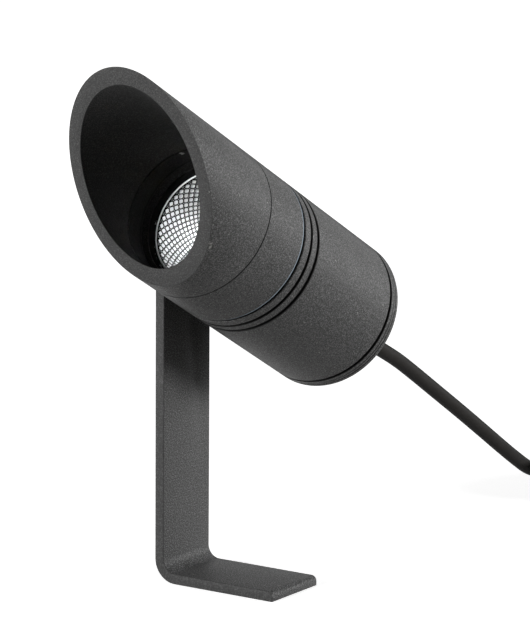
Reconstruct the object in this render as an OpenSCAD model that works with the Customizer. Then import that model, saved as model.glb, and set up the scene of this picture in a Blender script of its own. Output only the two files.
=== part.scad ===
// Outdoor display spotlight: a turned lamp head with a slant-cut glare shield,
// clamped to one side of an L-shaped bracket of flat bar, with a rubber flex.
// The origin is on the underside of the foot, straight below the tilt pivot.
// Stations along the lamp are measured from the pivot, positive towards the front.

/* [Lamp head] */
// Outside diameter of the housing, the bezel and the glare shield
body_d = 60; // [59:0.5:66]
// Angle of the beam above level
tilt = 28.4; // [20:0.1:34]
// Distance from the pivot to the housing's front shoulder
body_front = 18.1; // [16:0.1:22]
// Distance from the pivot to the housing's rear face
body_back = 53.7; // [53:0.1:60]
// Thickness of the solid wall between the lamp chamber and the driver chamber
web_t = 10; // [9.5:0.5:11]
// Wall of the driver chamber
body_wall = 4.5; // [4:0.1:5]
// Width of each decorative groove
groove_w = 1.3; // [0.8:0.1:2]
// Depth of each decorative groove
groove_depth = 1.5; // [0.8:0.1:2]
// Distance from the front shoulder to the middle of the first groove
groove_set = 4.7; // [3:0.1:5]
// Distance from the first groove to the second
groove_pitch = 5; // [4:0.1:6]
// Distance from the rear groove's middle to the housing's rear face
rear_groove_set = 4.1; // [3:0.1:6]
// Break on the turned edges
edge = 0.3; // [0.1:0.05:0.5]

/* [Bezel and lens] */
// Gap between the housing and the bezel, with a seal at its foot
bezel_gap = 1.2; // [0.8:0.1:2]
// Length of the bezel that shows between that gap and the glare shield
bezel_show = 24.6; // [24:0.1:28]
// Step from the outside down to the neck that carries the bezel
neck_step = 3; // [2.8:0.1:3.4]
// Wall of the neck
neck_wall = 3.5; // [3.2:0.1:4]
// Length of the neck past the shoulder
neck_len = 18.4; // [17.5:0.1:18.6]
// Thickness of the lens gasket
gasket_t = 0.8; // [0.5:0.1:1]
// Thickness of the glass
glass_t = 3; // [2.5:0.1:3.2]
// Thickness of the bezel's lip in front of the glass
lip_t = 1; // [0.8:0.1:1.2]
// How far the glass overlaps the neck's wall
glass_lap = 1.8; // [1.4:0.1:2.2]
// How far that lip covers the glass
lip_cover = 1.7; // [1.3:0.1:2.4]
// Length of the bezel's flared edge in front of the lip
flare_len = 1.7; // [1:0.1:2]

/* [Glare shield] */
// Wall of the glare shield
shield_wall = 5; // [4.5:0.1:5.4]
// Length of the glare shield on its axis, from the bezel to the slanted mouth
shield_len = 42.1; // [41:0.1:46]
// Slant of the mouth from square
mouth_angle = 45; // [35:1:46]
// Length of the bezel's spigot inside the glare shield
spigot_len = 8.3; // [7:0.1:9]
// Wall of that spigot
spigot_wall = 2.3; // [2.1:0.05:2.5]
// Gap at the seam between the bezel and the glare shield
seam = 0.2; // [0.1:0.05:0.4]

/* [Optics] */
// Width of the reflector's flat rim
reflector_rim = 1.75; // [1.7:0.05:2.3]
// Inside diameter of the reflector's throat
reflector_throat_d = 12.6; // [12:0.1:13]
// Thickness of the reflector
reflector_wall = 0.6; // [0.4:0.05:0.7]
// Side of the square light-emitting chip carrier
chip_w = 13.5; // [13:0.1:14]
// Diameter of the light-emitting area
glow_d = 9; // [7:0.1:10.5]
// Diameter of the chip's round mounting board
board_d = 35; // [34.5:0.5:36]
// Diameter of the ring that clamps the chip
holder_d = 31; // [30.5:0.5:31.5]

/* [Driver] */
// Width of the driver's circuit board
driver_w = 26; // [22:0.5:27]
// Room for the flex's cores between its end and the driver's circuit board
core_room = 5.6; // [4.6:0.1:9]
// Thickness of every circuit board
board_t = 1.6; // [1.2:0.1:1.8]
// Diameter of the driver's inductor
inductor_d = 12; // [8:0.5:13]
// Diameter of the driver's capacitors
capacitor_d = 8; // [6:0.5:9]

/* [Rear cover and gland] */
// Thickness of the rear cover's flange
cover_t = 2.4; // [2.2:0.1:4]
// Length of the rear cover's spigot
cover_spigot = 2.8; // [2.6:0.1:3.2]
// Rounding of the rear cover's edge
cover_round = 1.2; // [0.5:0.1:1.6]
// Distance of the rear cover's screws from the driver chamber's wall
cover_screw_set = 4; // [3.9:0.1:4.4]
// Thread diameter of the cable gland
gland_d = 12; // [12:0.5:14]
// Width of the gland across its flats
gland_af = 15; // [15:0.5:18]
// Length of the tapered strain relief behind the gland
relief_len = 20; // [20:0.5:24]

/* [Flex] */
// Diameter of the rubber flex
cord_d = 6; // [5.6:0.1:6.2]
// Diameter of each of its insulated cores
core_d = 2.2; // [1.8:0.1:2.4]
// Length of the cores stripped bare of the sheath
core_len = 22; // [15:1:24]

/* [Bracket] */
// Height of the pivot above the underside of the foot
pivot_h = 125; // [125:0.5:126]
// Width of the flat bar
bar_w = 30.5; // [26:0.5:34]
// Thickness of the flat bar
bar_t = 4; // [3.5:0.1:4.5]
// Length of the foot over the bend
foot_len = 54; // [46:0.5:64]
// Inside radius of the bend
bend_r = 6; // [4:0.5:8]
// Radius of the foot's corners
foot_corner_r = 1.5; // [0.5:0.1:4]

/* [Pivot] */
// Stand-off from the housing's side to the bar
side_gap = 2.5; // [2.2:0.1:4]
// Diameter of the flat boss on the housing's side
boss_d = 14; // [12:0.5:15]
// Thickness of the friction washer
friction_t = 0.8; // [0.5:0.1:1.2]
// Diameter of the pivot bolt
bolt_d = 6; // [5:0.1:6]
// Length of the bolt's shank
bolt_len = 20; // [18:0.5:21]
// Outside diameter of the threaded insert
insert_d = 8; // [7.8:0.1:8.4]
// Length of the threaded insert
insert_len = 14; // [13:0.5:15]
// Wall of the bush round the bolt
bush_wall = 0.9; // [0.6:0.05:1.2]
// Thickness of the flat washer and of the spring washer
washer_t = 1.6; // [1.2:0.1:2]

/* [Clearances] */
// Radial clearance of turned parts that slide into each other
slip = 0.15; // [0.1:0.01:0.2]
// Radial clearance of the pivot's running fit and of screws in their holes
run_fit = 0.05; // [0.03:0.01:0.1]
// Clearance of loose inner parts
loose = 0.3; // [0.2:0.05:0.4]

/* [Hidden] */
$fn = 96;
over = 1;

// Radii of the turned parts
body_r = body_d / 2;
neck_r = body_r - neck_step;
neck_bore_r = neck_r - neck_wall;
bezel_bore_r = neck_r + slip;
shield_bore_r = body_r - shield_wall;
spigot_r = shield_bore_r + spigot_wall;
counterbore_r = spigot_r + slip;
chamber_r = body_r - body_wall;
cover_spigot_r = chamber_r - slip;
cover_screw_r = chamber_r - cover_screw_set;
glass_r = neck_bore_r + glass_lap;
lip_r = glass_r - lip_cover;
pocket_r = glass_r + loose;
gasket_r = glass_r + slip;
sleeve_r = neck_bore_r - slip;
mouth_r = sleeve_r - reflector_rim;

// Stations along the lamp
web_half = web_t / 2;
first_groove = body_front - groove_set;
rear_groove = rear_groove_set - body_back;
bezel_back = body_front + bezel_gap;
bezel_front = bezel_back + bezel_show;
neck_end = body_front + neck_len;
glass_back = neck_end + gasket_t;
glass_front = glass_back + glass_t;
lip_front = glass_front + lip_t;
spigot_end = bezel_front + spigot_len;
shield_back = bezel_front + seam;
counterbore_end = spigot_end + 2 * seam;
mouth = bezel_front + shield_len;
cover_back = body_back + cover_t;
cover_inner = body_back - cover_spigot;

// Small seals in turned grooves
oring_play = 0.05;
shield_groove_depth = 1.2;
shield_groove_w = 2;
shield_oring_z = bezel_front + spigot_len / 2;
cover_groove_depth = 1.1;
cover_groove_w = 1.6;
cover_oring_z = cover_spigot / 2 - body_back;

// Chip, the ring that clamps it, and the reflector
pad_t = 0.5;
chip_t = 1;
phosphor_t = 0.4;
holder_h = 3.3;
holder_screw_set = 3.2;
holder_screw_r = holder_d / 2 - holder_screw_set;
screw_d = 3;
led_screw_len = 8;
screw_head_d = 5.4;
screw_head_h = 1.9;
socket_af = 2;
socket_depth = 1.2;
board_back = web_half + pad_t;
board_front = board_back + board_t;
chip_front = board_front + chip_t;
holder_front = board_front + holder_h;
holder_seat = holder_front - screw_head_h;
throat_r = reflector_throat_d / 2;
throat_z = chip_front + phosphor_t + loose;
reflector_lip = glass_back - slip;
flange_t = 0.6;
flange_back = neck_end - flange_t;
sleeve_wall = 0.9;
reflector_steps = 14;

// Driver and the flex's end in its chamber
inlet_past = 1.5;
inlet_end = inlet_past - cover_inner;
pillar_r = 4.2;
pillar_gap = 0.8;
carrier_t = 2.5;
carrier_r = cover_screw_r - pillar_r - pillar_gap;
carrier_screw_set = 4;
carrier_screw_r = carrier_r - carrier_screw_set;
carrier_screw_len = 6;
rail_w = 3;
rail_h = 6;
rail_bite = 1.2;
driver_front = -web_half - carrier_t - loose;
driver_back = inlet_end + core_room;
driver_len = driver_front - driver_back;
rail_short = 6;
inductor_h = 7;
capacitor_h = 10;
capacitor_gap = 2;
terminal_w = 10;
terminal_h = 8;
terminal_len = 7;
terminal_pitch = 5;
terminal_y = board_t / 2 + terminal_h / 2;
wire_d = 1.1;
wire_set = 0.8;
wire_start = 6;
wire_drop = 9;
wire_crest = 2.4;
wire_hole_d = 3.4;
wire_hole_r = (board_d / 2 + sleeve_r - sleeve_wall) / 2;
wire_pad_r = (board_d + holder_d) / 4;

// Rear cover, gland and strain relief
cover_screw_len = 12;
cover_head_d = 5.6;
cover_head_h = (cover_head_d - screw_d) / 2;
gland_r = gland_d / 2;
gland_seat_t = 0.8;
gland_hex_t = 3.2;
gland_neck = 7;
gland_wall = 1.7;
gland_nut_hex = 6;
gland_nut_len = 11;
hex_break = 0.6;
gland_set = 0.6;
gland_inner = cover_inner + gland_set;
gland_front = cover_back + gland_seat_t;
gland_back = gland_front + gland_hex_t;
neck_back = gland_back + gland_neck;
seal_set = 1;
seal_front = gland_back + seal_set;
collar_t = 1.2;
collar_front = neck_back + loose;
collar_back = collar_front + collar_t;
nut_back = gland_back + gland_nut_len;
nut_step = 0.4;
nut_tail_r = gland_af / 2 - nut_step;
relief_back = nut_back + relief_len;
relief_root_wall = 1.5;
relief_tip_wall = 0.6;
relief_root_r = cord_d / 2 + relief_root_wall;
relief_tip_r = cord_d / 2 + relief_tip_wall;
relief_rings = 5;
relief_cut = 0.5;

// Pivot parts, measured sideways from the lamp's axis towards the bar
bar_near = body_r + side_gap;
bar_far = bar_near + bar_t;
boss_far = bar_near - friction_t;
boss_sink = 2.4;
boss_root = body_r - boss_sink;
insert_root = boss_far - insert_len;
bush_r = bolt_d / 2 + run_fit + bush_wall;
washer_d = 12.2;
spring_d = 11;
head_d = 10.5;
head_h = 3.3;
head_socket_af = 4;
head_socket_depth = 2;
head_seat = bar_far + 2 * washer_t;
foot_tip = foot_len - bar_far;
bend_out = bend_r + bar_t;

// Flex outside the lamp: points chosen by hand, x, y, z
ROUTE = [[0, 99, 72], [0, 112, 64.5], [0, 127, 55.5], [0, 147, 43.5], [0, 165, 32.5],
    [0, 182, 22], [0, 196, 13.6], [0, 208, 7.2]];
// Its tail, from the coil's last turn down to the floor
TAIL = [[75, 212.5, 8.4], [72.5, 204, 5.4], [70, 195, 3.6], [68.5, 186, 3.2], [68, 180, 3.2]];
tie_t = 0.8;
tie_w = 2.6;
tie_play = 0.1;
tie_turn = 0.375;
lock_w = 5;
lock_h = 2;
coil_z = cord_d / 2 + tie_t + tie_play;
coil_r = 38;
coil_x = coil_r;
coil_y = 232;
coil_turns = 3.5;
coil_step = cord_d + 0.6;
coil_rings = 24;
coil_sides = 6;
tube_sides = 8;
curve_cuts = 3;
core_set = 1.3;
core_splay = 0.12;
core_drop = 1.5;
collar_len = 5;
collar_r = 1.45;
pin_len = 6;
pin_r = 0.8;

powder = [0.2, 0.2, 0.2];
powder_dark = [0.15, 0.15, 0.15];
rubber = [0.08, 0.08, 0.08];
steel = [0.66, 0.67, 0.69];

// A point on the lamp's axis, in the object's frame
function on_axis(z) = [0, -z * cos(tilt), pivot_h + z * sin(tilt)];

// A smooth curve through points, cut into equal parts between each pair
function between(a, b, c, d, t) =
    0.5 * (2 * b + (c - a) * t + (2 * a - 5 * b + 4 * c - d) * t * t
    + (3 * b - a - 3 * c + d) * t * t * t);
function curve(p, cuts) = [
    for (i = [0 : len(p) - 2], k = [0 : cuts - 1])
        between(p[max(i - 1, 0)], p[i], p[i + 1], p[min(i + 2, len(p) - 1)], k / cuts),
    p[len(p) - 1]];
function unit(v) = v / norm(v);
function heading(p, i) = unit(p[min(i + 1, len(p) - 1)] - p[max(i - 1, 0)]);
function last(p) = p[len(p) - 1];
function total(values) = values * [for (v = values) 1];
function path_length(p) = total([for (i = [0 : len(p) - 2]) norm(p[i + 1] - p[i])]);

// The coil spirals in over the lower layer, climbs in the half turn where it turns back,
// and spirals out over the upper layer
function climb(u) =
    let (t = min(max(2 * (u - coil_turns / 2) + 0.5, 0), 1)) t * t * (3 - 2 * t);
function coil_radius(u) = coil_r - coil_step * (coil_turns / 2 - abs(u - coil_turns / 2));
function coil_point(u) =
    let (a = 180 - 360 * u)
    [coil_x + coil_radius(u) * cos(a), coil_y + coil_radius(u) * sin(a),
        coil_z + coil_step * climb(u)];
turns = [for (i = [0 : coil_turns * coil_rings]) coil_point(i / coil_rings)];
coil_start = turns[0] - [0, cord_d, 0];
coil_end = last(turns) - [0, cord_d, 0];
coil_points = concat([coil_start], turns, [coil_end]);
half_turn = coil_rings / 2;
coil_gap = min([for (i = [0 : len(turns) - half_turn - 1], j = [i + half_turn : len(turns) - 1])
    norm(turns[i] - turns[j])]) - cord_d;
echo("Least gap of the coil to itself", coil_gap);

relief_end = on_axis(-relief_back);
relief_lead = on_axis(-relief_back - cord_d);
run_points = concat([relief_end],
    curve(concat([relief_lead], ROUTE, [coil_start - [0, cord_d, 0]]), curve_cuts), [coil_start]);
tail_points = concat([coil_end], curve(concat([coil_end - [0, cord_d, 0]], TAIL), curve_cuts));
echo("Length of the flex outside the lamp",
    path_length(run_points) + path_length(coil_points) + path_length(tail_points));

// The stripped cores leave the sheath straight, splay a little and sink to the floor
tail_end = last(tail_points);
core_dir = heading(tail_points, len(tail_points) - 1);
core_side = unit(cross(core_dir, [0, 0, 1]));
core_steps = 6;
core_lead = core_len / core_steps;
function core_fall(t) = -core_drop * t * t * (3 - 2 * t);
function core_points(side) = [for (i = [0 : core_steps])
    let (along = i * core_lead, bent = max(along - core_lead, 0))
    tail_end + core_dir * along + side * (core_set + core_splay * bent) * core_side
        + [0, 0, core_fall(bent / (core_len - core_lead))]];

// Places what follows along the lamp's axis
module lamp() {
    translate([0, 0, pivot_h]) rotate([90 - tilt, 0, 0]) children();
}

// Turns what follows sideways, so that it grows towards the bar
module across() {
    rotate([0, -90, 0]) children();
}

module at_pivot() {
    translate([0, 0, pivot_h]) across() children();
}

module disc(r, z0, z1) {
    translate([0, 0, z0]) cylinder(r = r, h = z1 - z0);
}

module ring(r_out, r_in, z0, z1) {
    difference() {
        disc(r_out, z0, z1);
        disc(r_in, z0 - over, z1 + over);
    }
}

// A torus-shaped seal between a groove's floor and a bore
module oring(floor_r, bore_r, z) {
    play_d = bore_r - floor_r - 2 * oring_play;
    rotate_extrude() translate([(floor_r + bore_r) / 2, z]) circle(d = play_d, $fn = 32);
}

// Copies round the lamp's axis
module around(count, first) {
    for (i = [0 : count - 1]) rotate(first + i * 360 / count) children();
}

module hex(af, z0, z1) {
    translate([0, 0, z0]) cylinder(r = af / 2 / cos(30), h = z1 - z0, $fn = 6);
}

// A hexagon with its corners turned off at both ends
module hex_nut(af, z0, z1) {
    corner = af / 2 / cos(30);
    intersection() {
        hex(af, z0, z1);
        rotate_extrude() polygon([[0, z0], [corner - hex_break, z0], [corner, z0 + hex_break],
            [corner, z1 - hex_break], [corner - hex_break, z1], [0, z1]]);
    }
}

// A cap screw whose head stands on the plane z = 0, with its shank below
module cap_screw(length) {
    difference() {
        union() {
            disc(screw_head_d / 2, 0, screw_head_h);
            disc(screw_d / 2, -length, 0);
        }
        hex(socket_af, screw_head_h - socket_depth, screw_head_h + over);
    }
}

// A closed tube of radius r along points p; the direction up is never along the tube
module tube(p, r, sides, up) {
    points = [for (i = [0 : len(p) - 1])
        let (t = heading(p, i), s = unit(cross(t, up)), u = cross(s, t))
        for (k = [0 : sides - 1])
            p[i] + r * (cos(360 * k / sides) * s + sin(360 * k / sides) * u)];
    end = (len(p) - 1) * sides;
    faces = concat(
        [[for (k = [0 : sides - 1]) k]],
        [for (i = [0 : len(p) - 2], k = [0 : sides - 1], half = [0, 1])
            let (a = i * sides + k, b = i * sides + (k + 1) % sides)
            half == 0 ? [a, a + sides, b + sides] : [a, b + sides, b]],
        [[for (k = [sides - 1 : -1 : 0]) end + k]]);
    polyhedron(points = points, faces = faces);
}

// A rectangle with rounded corners, from x0 to x1 and from y0 to y1
module rounded(x0, x1, y0, y1, r) {
    translate([x0 + r, y0]) square([x1 - x0 - 2 * r, y1 - y0]);
    translate([x0, y0 + r]) square([x1 - x0, y1 - y0 - 2 * r]);
    for (x = [x0 + r, x1 - r], y = [y0 + r, y1 - r]) translate([x, y]) circle(r);
}

// Bracket

module bar_profile() {
    translate([-bar_far, bend_out]) square([bar_t, pivot_h + bar_w / 2 - bend_out]);
    translate([bend_out - bar_far, 0]) square([foot_len - bend_out, bar_t]);
    translate([bend_out - bar_far, bend_out]) intersection() {
        difference() {
            circle(bend_out);
            circle(bend_r);
        }
        translate([-bend_out, -bend_out]) square(bend_out);
    }
}

module foot_corner() {
    translate([foot_tip - foot_corner_r, bar_w / 2 - foot_corner_r, -over]) difference() {
        cube([foot_corner_r + over, foot_corner_r + over, bar_t + 2 * over]);
        cylinder(r = foot_corner_r, h = bar_t + 2 * over);
    }
}

module bracket() {
    color(powder) difference() {
        intersection() {
            rotate([90, 0, 0]) linear_extrude(bar_w, center = true) bar_profile();
            union() {
                translate([-bar_far - over, -bar_w / 2, -over])
                    cube([foot_len + 2 * over, bar_w, pivot_h + over]);
                at_pivot() disc(bar_w / 2, bar_near - over, bar_far + over);
            }
        }
        at_pivot() disc(bush_r + run_fit, bar_near - over, bar_far + over);
        foot_corner();
        mirror([0, 1, 0]) foot_corner();
    }
}

module pivot_bush() {
    color([0.75, 0.6, 0.3]) at_pivot() ring(bush_r, bolt_d / 2 + run_fit, bar_near, bar_far);
}

module friction_washer() {
    color([0.85, 0.85, 0.82]) at_pivot()
        ring(boss_d / 2, bolt_d / 2 + run_fit, boss_far, bar_near);
}

module pivot_bolt() {
    dome_r = (head_d * head_d / 4 + head_h * head_h) / (2 * head_h);
    color(steel) lamp() across() difference() {
        union() {
            disc(bolt_d / 2, head_seat - bolt_len, head_seat);
            translate([0, 0, head_seat]) rotate_extrude() intersection() {
                translate([0, head_h - dome_r]) circle(dome_r);
                square([head_d / 2, head_h]);
            }
        }
        hex(head_socket_af, head_seat + head_h - head_socket_depth, head_seat + head_h + over);
    }
}

module spring_washer() {
    slit = 0.8;
    color(steel) lamp() across() difference() {
        ring(spring_d / 2, bolt_d / 2 + slip, bar_far + washer_t, head_seat);
        translate([0, -slit / 2, bar_far]) cube([spring_d, slit, head_seat]);
    }
}

module flat_washer() {
    color(steel) lamp() across()
        ring(washer_d / 2, bolt_d / 2 + slip, bar_far, bar_far + washer_t);
}

module threaded_insert() {
    color(steel) lamp() across()
        ring(insert_d / 2, bolt_d / 2 + run_fit, insert_root, boss_far);
}

// Lamp head

// The space of a groove, open at the outside, with broken edges
module groove(z) {
    lean = edge / 2;
    polygon([[body_r - groove_depth, z - groove_w / 2], [body_r - lean, z - groove_w / 2],
        [body_r + over, z - groove_w / 2 - lean - over],
        [body_r + over, z + groove_w / 2 + lean + over],
        [body_r - lean, z + groove_w / 2], [body_r - groove_depth, z + groove_w / 2]]);
}

module housing_profile() {
    difference() {
        polygon([[0, -body_back], [body_r - edge, -body_back], [body_r, edge - body_back],
            [body_r, body_front - edge], [body_r - edge, body_front], [neck_r, body_front],
            [neck_r, neck_end - edge], [neck_r - edge, neck_end], [0, neck_end]]);
        translate([0, web_half]) square([neck_bore_r, neck_end]);
        translate([0, -body_back - over]) square([chamber_r, body_back + over - web_half]);
        groove(first_groove);
        groove(first_groove - groove_pitch);
        groove(rear_groove);
    }
}

module housing() {
    color(powder) lamp() difference() {
        union() {
            rotate_extrude() housing_profile();
            across() disc(boss_d / 2, boss_root, boss_far);
            around(3, 90) translate([cover_screw_r, 0, 0])
                disc(pillar_r, -cover_inner, -web_half);
        }
        across() disc(insert_d / 2 + run_fit, insert_root, boss_far + over);
        translate([0, -wire_hole_r, 0]) disc(wire_hole_d / 2, -web_t, web_t);
        around(2, 0) translate([holder_screw_r, 0, 0])
            disc(screw_d / 2 + run_fit, holder_seat - led_screw_len - loose, web_t);
        around(2, 90) translate([carrier_screw_r, 0, 0])
            disc(screw_d / 2 + run_fit, -web_t, carrier_screw_len + loose - web_half - carrier_t);
        around(3, 90) translate([cover_screw_r, 0, 0])
            disc(screw_d / 2 + run_fit, -body_back, cover_screw_len + loose - cover_back);
    }
}

module front_bezel() {
    groove_floor = spigot_r - shield_groove_depth;
    color(powder) lamp() rotate_extrude() difference() {
        polygon([[bezel_bore_r, bezel_back], [body_r - edge, bezel_back],
            [body_r, bezel_back + edge], [body_r, bezel_front - seam],
            [body_r - seam, bezel_front], [spigot_r, bezel_front], [spigot_r, spigot_end - edge],
            [spigot_r - edge, spigot_end], [shield_bore_r, spigot_end],
            [shield_bore_r, lip_front + flare_len], [lip_r, lip_front],
            [lip_r, glass_front], [pocket_r, glass_front], [pocket_r, neck_end + loose],
            [bezel_bore_r, neck_end + loose]]);
        translate([groove_floor, shield_oring_z - shield_groove_w / 2])
            square([shield_groove_depth + over, shield_groove_w]);
    }
}

module bezel_seal() {
    color(rubber) lamp() ring(body_r - groove_depth, neck_r + run_fit, body_front, bezel_back);
}

module glare_shield() {
    reach = mouth + body_r * tan(mouth_angle);
    color(powder) lamp() difference() {
        rotate_extrude() polygon([[shield_bore_r, counterbore_end],
            [counterbore_r, counterbore_end], [counterbore_r, shield_back],
            [body_r - seam, shield_back], [body_r, shield_back + seam], [body_r, reach],
            [shield_bore_r, reach]]);
        translate([0, 0, mouth]) rotate([mouth_angle, 0, 0])
            translate([-body_d, -2 * body_d, 0]) cube([2 * body_d, 4 * body_d, reach]);
    }
}

module shield_oring() {
    color(rubber) lamp()
        oring(spigot_r - shield_groove_depth, counterbore_r, shield_oring_z);
}

// Optics

module glass_lens() {
    color([0.8, 0.9, 0.9, 0.4]) lamp() disc(glass_r, glass_back, glass_front);
}

module lens_gasket() {
    color(rubber) lamp() ring(gasket_r, mouth_r + reflector_wall + slip, neck_end, glass_back);
}

// Inside radius of the reflector, a parabola from its throat to its mouth
function reflector_r(z) =
    sqrt(pow(throat_r, 2) + (pow(mouth_r, 2) - pow(throat_r, 2))
    * (z - throat_z) / (reflector_lip - throat_z));

module reflector() {
    n = reflector_steps;
    inside = [for (i = [0 : n])
        let (z = throat_z + (reflector_lip - throat_z) * i / n) [reflector_r(z), z]];
    outside = [for (i = [n : -1 : 0])
        let (z = throat_z + (flange_back - throat_z) * i / n)
        [reflector_r(z) + reflector_wall, z]];
    rim = [[mouth_r + reflector_wall, reflector_lip], [mouth_r + reflector_wall, neck_end],
        [sleeve_r, neck_end], [sleeve_r, flange_back]];
    color([0.9, 0.9, 0.92]) lamp() rotate_extrude() polygon(concat(inside, rim, outside));
}

module reflector_sleeve() {
    color([0.7, 0.7, 0.72]) lamp() ring(sleeve_r, sleeve_r - sleeve_wall, web_half, flange_back);
}

module led_holder() {
    pocket = chip_w + 2 * slip;
    color([0.92, 0.92, 0.9]) lamp() difference() {
        ring(holder_d / 2, reflector_r(holder_front) + reflector_wall + loose,
            board_front, holder_front);
        translate([-pocket / 2, -pocket / 2, board_front - over])
            cube([pocket, pocket, over + chip_t + slip]);
        around(2, 0) translate([holder_screw_r, 0, 0]) {
            disc(screw_d / 2 + run_fit, board_back, holder_front);
            disc(screw_head_d / 2 + slip, holder_seat, holder_front + over);
        }
    }
}

module led_holder_screws() {
    color(steel) lamp() around(2, 0) translate([holder_screw_r, 0, holder_seat])
        cap_screw(led_screw_len);
}

module led_board() {
    color([0.93, 0.93, 0.93]) lamp() difference() {
        disc(board_d / 2, board_back, board_front);
        around(2, 0) translate([holder_screw_r, 0, 0])
            disc(screw_d / 2 + run_fit, board_back - over, board_front + over);
    }
}

module led_chip() {
    color([0.85, 0.85, 0.8]) lamp() translate([-chip_w / 2, -chip_w / 2, board_front])
        cube([chip_w, chip_w, chip_t]);
}

module led_phosphor() {
    color([0.95, 0.8, 0.2]) lamp() disc(glow_d / 2, chip_front, chip_front + phosphor_t);
}

module thermal_pad() {
    color([0.6, 0.7, 0.75]) lamp() difference() {
        disc(board_d / 2, web_half, board_back);
        around(2, 0) translate([holder_screw_r, 0, 0])
            disc(screw_d / 2 + run_fit, web_half - over, board_back + over);
    }
}

// From under the driver's board, through the wall and over the edge of the chip's board
module led_wires() {
    start = driver_front - wire_start;
    crest = board_front + wire_crest;
    drop = -board_t / 2 - wire_drop;
    for (side = [-1, 1]) {
        x = side * wire_set;
        route = [[x, -board_t / 2 - 2 * wire_d, start], [x, drop, start + wire_d],
            [x, wire_d - wire_hole_r, (start - web_half) / 2], [x, -wire_hole_r, -web_half],
            [x, -wire_hole_r, board_back], [x, -wire_hole_r, board_front + wire_d],
            [x, -(wire_hole_r + wire_pad_r) / 2, crest], [x, -wire_pad_r, board_front + wire_d]];
        color(side > 0 ? [0.8, 0.1, 0.1] : rubber) lamp()
            tube(concat([[x, -board_t / 2, start]], curve(route, curve_cuts),
                [[x, -wire_pad_r, board_front]]), wire_d / 2, tube_sides, [1, 0, 0]);
    }
}

// Driver

module driver_carrier() {
    color([0.9, 0.9, 0.88]) lamp() difference() {
        union() {
            disc(carrier_r, -web_half - carrier_t, -web_half);
            for (side = [0, 1]) mirror([side, 0, 0])
                translate([driver_w / 2 - rail_bite, -rail_h / 2, driver_back + rail_short])
                    cube([rail_w, rail_h, driver_len - rail_short + carrier_t]);
        }
        translate([-driver_w / 2 - slip, -board_t / 2 - slip, driver_back - over])
            cube([driver_w + 2 * slip, board_t + 2 * slip, driver_len + over + loose]);
        around(2, 90) translate([carrier_screw_r, 0, 0])
            disc(screw_d / 2 + run_fit, -web_half - carrier_t - over, over - web_half);
    }
}

module carrier_screws() {
    color(steel) lamp() around(2, 90)
        translate([carrier_screw_r, 0, -web_half - carrier_t]) mirror([0, 0, 1])
            cap_screw(carrier_screw_len);
}

module driver_board() {
    color([0.1, 0.35, 0.2]) lamp() translate([-driver_w / 2, -board_t / 2, driver_back])
        cube([driver_w, board_t, driver_len]);
}

// Stands what follows on the driver's board, at x and at a distance from its front end
module on_board(x, back) {
    translate([x, board_t / 2, driver_front - back]) rotate([-90, 0, 0]) children();
}

module driver_inductor() {
    back = driver_len - terminal_len - inductor_d / 2 - capacitor_gap;
    color([0.25, 0.2, 0.15]) lamp() on_board(0, back) disc(inductor_d / 2, 0, inductor_h);
}

module driver_capacitors() {
    back = capacitor_d / 2 + capacitor_gap;
    x = capacitor_d / 2 + capacitor_gap / 2;
    color([0.15, 0.2, 0.35]) lamp() for (side = [-1, 1])
        on_board(side * x, back) disc(capacitor_d / 2, 0, capacitor_h);
}

module driver_terminal() {
    color([0.2, 0.5, 0.3]) lamp() difference() {
        translate([-terminal_w / 2, board_t / 2, driver_back])
            cube([terminal_w, terminal_h, terminal_len]);
        for (side = [-1, 1]) translate([side * terminal_pitch / 2, terminal_y, 0])
            disc(core_d / 2 + slip, driver_back - over, driver_back + terminal_len / 2);
    }
}

// The flex's two cores, from its inner end into the terminal
module supply_wires() {
    lead = 1;
    for (side = [-1, 1]) {
        x0 = side * core_set;
        x1 = side * terminal_pitch / 2;
        route = [[x0, 0, inlet_end + lead],
            [(x0 + x1) / 2, terminal_y / 2, (inlet_end + driver_back) / 2],
            [x1, terminal_y, driver_back - lead]];
        color(side > 0 ? [0.45, 0.25, 0.12] : [0.15, 0.3, 0.65]) lamp()
            tube(concat([[x0, 0, inlet_end]], curve(route, curve_cuts),
                [[x1, terminal_y, driver_back + terminal_len / 2 - loose]]),
                core_d / 2, tube_sides, [1, 0, 0]);
    }
}

// Rear cover and gland

module cover_profile() {
    translate([0, -cover_back]) square([body_r - cover_round, cover_t]);
    translate([0, cover_round - cover_back]) square([body_r, cover_t - cover_round]);
    translate([body_r - cover_round, cover_round - cover_back]) circle(cover_round);
    translate([0, -body_back]) square([cover_spigot_r, cover_spigot]);
}

module rear_cover() {
    color(powder_dark) lamp() difference() {
        rotate_extrude() difference() {
            cover_profile();
            translate([cover_spigot_r - cover_groove_depth, cover_oring_z - cover_groove_w / 2])
                square([cover_groove_depth + over, cover_groove_w]);
        }
        disc(gland_r + run_fit, -cover_back - over, over - cover_inner);
        around(3, 90) translate([cover_screw_r, 0, 0]) {
            disc(screw_d / 2 + run_fit, -cover_back, over - cover_inner);
            translate([0, 0, -cover_back - slip])
                cylinder(r1 = cover_head_d / 2 + slip, r2 = screw_d / 2, h = cover_head_h + slip);
        }
    }
}

module cover_oring() {
    color(rubber) lamp()
        oring(cover_spigot_r - cover_groove_depth, chamber_r, cover_oring_z);
}

module cover_screws() {
    color(steel) lamp() around(3, 90) translate([cover_screw_r, 0, -cover_back])
        difference() {
            union() {
                cylinder(r1 = cover_head_d / 2, r2 = screw_d / 2, h = cover_head_h);
                disc(screw_d / 2, cover_head_h, cover_screw_len);
            }
            hex(socket_af, -over, socket_depth);
        }
}

module gland_body() {
    color(powder_dark) lamp() difference() {
        union() {
            disc(gland_r, -neck_back, -gland_inner);
            hex_nut(gland_af, -gland_back, -gland_front);
        }
        disc(cord_d / 2 + slip, -neck_back - over, over - gland_inner);
        disc(gland_r - gland_wall, -neck_back - over, -seal_front);
    }
}

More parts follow.
